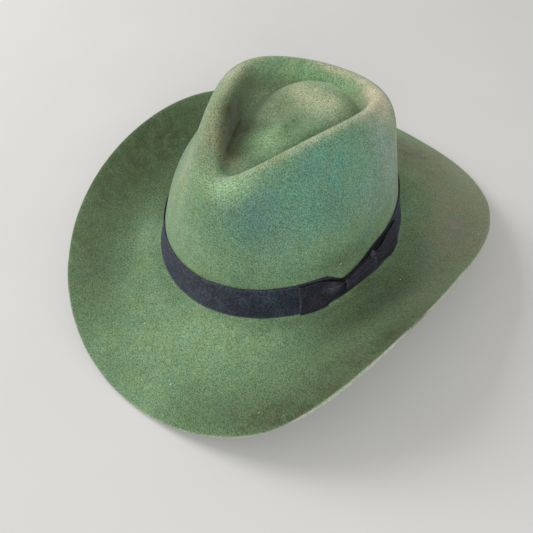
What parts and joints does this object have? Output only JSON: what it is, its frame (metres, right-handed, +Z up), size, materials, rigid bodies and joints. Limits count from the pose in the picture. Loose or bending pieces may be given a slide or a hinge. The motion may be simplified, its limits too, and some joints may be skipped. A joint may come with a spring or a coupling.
{
  "type": "wide-brimmed felt hat",
  "caption": "Wide-brimmed felt hat with a teardrop crown, a grosgrain band and a flat bow, lined and fitted with a leather sweatband.",
  "frame": {"origin": "middle of the outline, on the table that the front and back of the brim rest on", "axes": "+Z up, -Y to the hat's front, +X to the wearer's left"},
  "size_m": [0.3022, 0.371, 0.1413],
  "materials": {
    "felt": "matt napped fur felt, raw cut edge",
    "ribbon": "ribbed grosgrain with a faint sheen",
    "lining": "satin",
    "piping": "satin cord",
    "leather": "fine grain, semi-matt",
    "reed": "translucent",
    "tape": "woven tape",
    "thread": "waxed thread",
    "inner_ribbon": "ribbed grosgrain",
    "tag": "woven label"
  },
  "bodies": {
    "root": {"felt_body": "felt", "hat_band": "ribbon", "bow_backing": "ribbon", "bow_front_loop": "ribbon", "bow_rear_loop": "ribbon", "bow_wrap": "ribbon", "lining_side": "lining", "lining_tip": "lining", "lining_piping": "piping", "sweatband": "leather", "sweatband_reed": "reed", "reed_tape": "tape", "sweatband_stitches": "thread", "sweatband_seam_tape": "inner_ribbon", "sweatband_bow": "inner_ribbon", "size_tag": "tag"}
  },
  "joints": []
}
